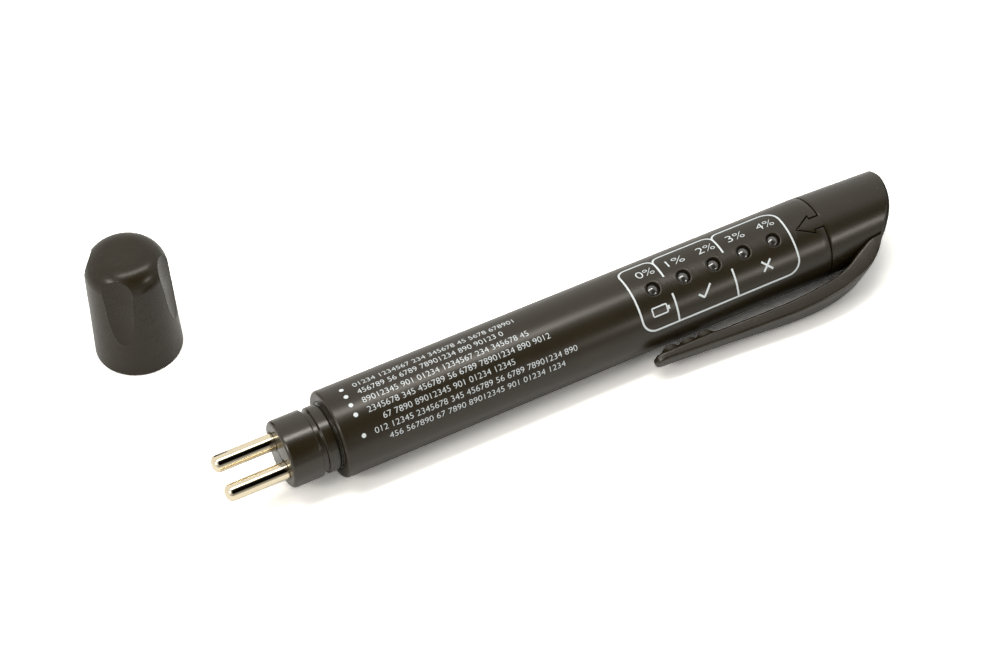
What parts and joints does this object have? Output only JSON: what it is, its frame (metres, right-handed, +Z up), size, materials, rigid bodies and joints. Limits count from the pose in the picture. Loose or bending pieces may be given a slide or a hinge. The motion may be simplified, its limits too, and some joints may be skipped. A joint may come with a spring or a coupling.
{
  "type": "digital brake fluid tester",
  "caption": "Pen-shaped brake fluid tester with probe pins, a row of indicator lamps, a battery tail cap with button and pocket clip, and its protective cap standing beside it.",
  "frame": {"origin": "on the floor, under the middle of the bounding box of the pen and its cap", "axes": "+X along the pen from the probe tips to the button, +Y from the pen to the protective cap, +Z up"},
  "size_m": [0.1646, 0.0732, 0.0275],
  "materials": {
    "black_plastic": "satin, fine moulded texture",
    "button_plastic": "gloss",
    "nickel_plated": "polished",
    "tinned_wire": "satin",
    "contact_brass": "satin",
    "spring_steel": "satin",
    "led_lens": "clear epoxy, unlit",
    "laminate": "solder mask",
    "chip_moulding": "moulded epoxy",
    "ceramic_body": "fired ceramic",
    "printed_film": "printed shrink film"
  },
  "bodies": {
    "barrel": {"barrel": "black_plastic", "probe_holder": "black_plastic", "probe_pin_left": "nickel_plated", "probe_pin_right": "nickel_plated", "probe_lead_left": "tinned_wire", "probe_lead_right": "tinned_wire", "circuit_board": "laminate", "controller_chip": "chip_moulding", "capacitor": "ceramic_body", "led_1": "led_lens", "led_2": "led_lens", "led_3": "led_lens", "led_4": "led_lens", "led_5": "led_lens", "led_resistor_1": "chip_moulding", "led_resistor_2": "chip_moulding", "led_resistor_3": "chip_moulding", "led_resistor_4": "chip_moulding", "led_resistor_5": "chip_moulding", "front_contact": "contact_brass", "contact_strip": "contact_brass"},
    "battery": {"battery_cell": "spring_steel", "battery_sleeve": "printed_film"},
    "tail_cap": {"tail_cap": "black_plastic", "latch_tongue": "black_plastic", "end_plate": "black_plastic", "contact_plate": "contact_brass", "contact_spring": "spring_steel", "button_spring": "spring_steel"},
    "push_button": {"push_button": "button_plastic", "switch_disc": "contact_brass"},
    "pocket_clip": {"pocket_clip": "black_plastic"},
    "protective_cap": {"protective_cap": "black_plastic"}
  },
  "joints": [
    {"name": "tail_cap_pull", "type": "slide", "parent": "barrel", "child": "tail_cap", "axis": [1, 0, 0], "range_m": [0, 0.06], "deforming": ["latch_tongue"]},
    {"name": "battery_slide", "type": "slide", "parent": "barrel", "child": "battery", "axis": [1, 0, 0], "range_m": [0, 0.052]},
    {"name": "button_press", "type": "slide", "parent": "tail_cap", "child": "push_button", "axis": [-1, 0, 0], "range_m": [0, 0.0012], "stiffness_N_per_m": 1500, "deforming": ["button_spring"]},
    {"name": "clip_flex", "type": "hinge", "parent": "tail_cap", "child": "pocket_clip", "pos_m": [0.07043, -0.02993, 0.00587], "axis": [0, -0.3633, 0.9317], "range_deg": [0, 4], "stiffness_Nm_per_rad": 4},
    {"name": "cap_lift", "type": "slide", "parent": "barrel", "child": "protective_cap", "axis": [0, 0, 1], "range_m": [0, 0.04]}
  ],
  "couplings": [
    {"joint": "battery_slide", "follows": "tail_cap_pull", "ratio": 0.85}
  ]
}
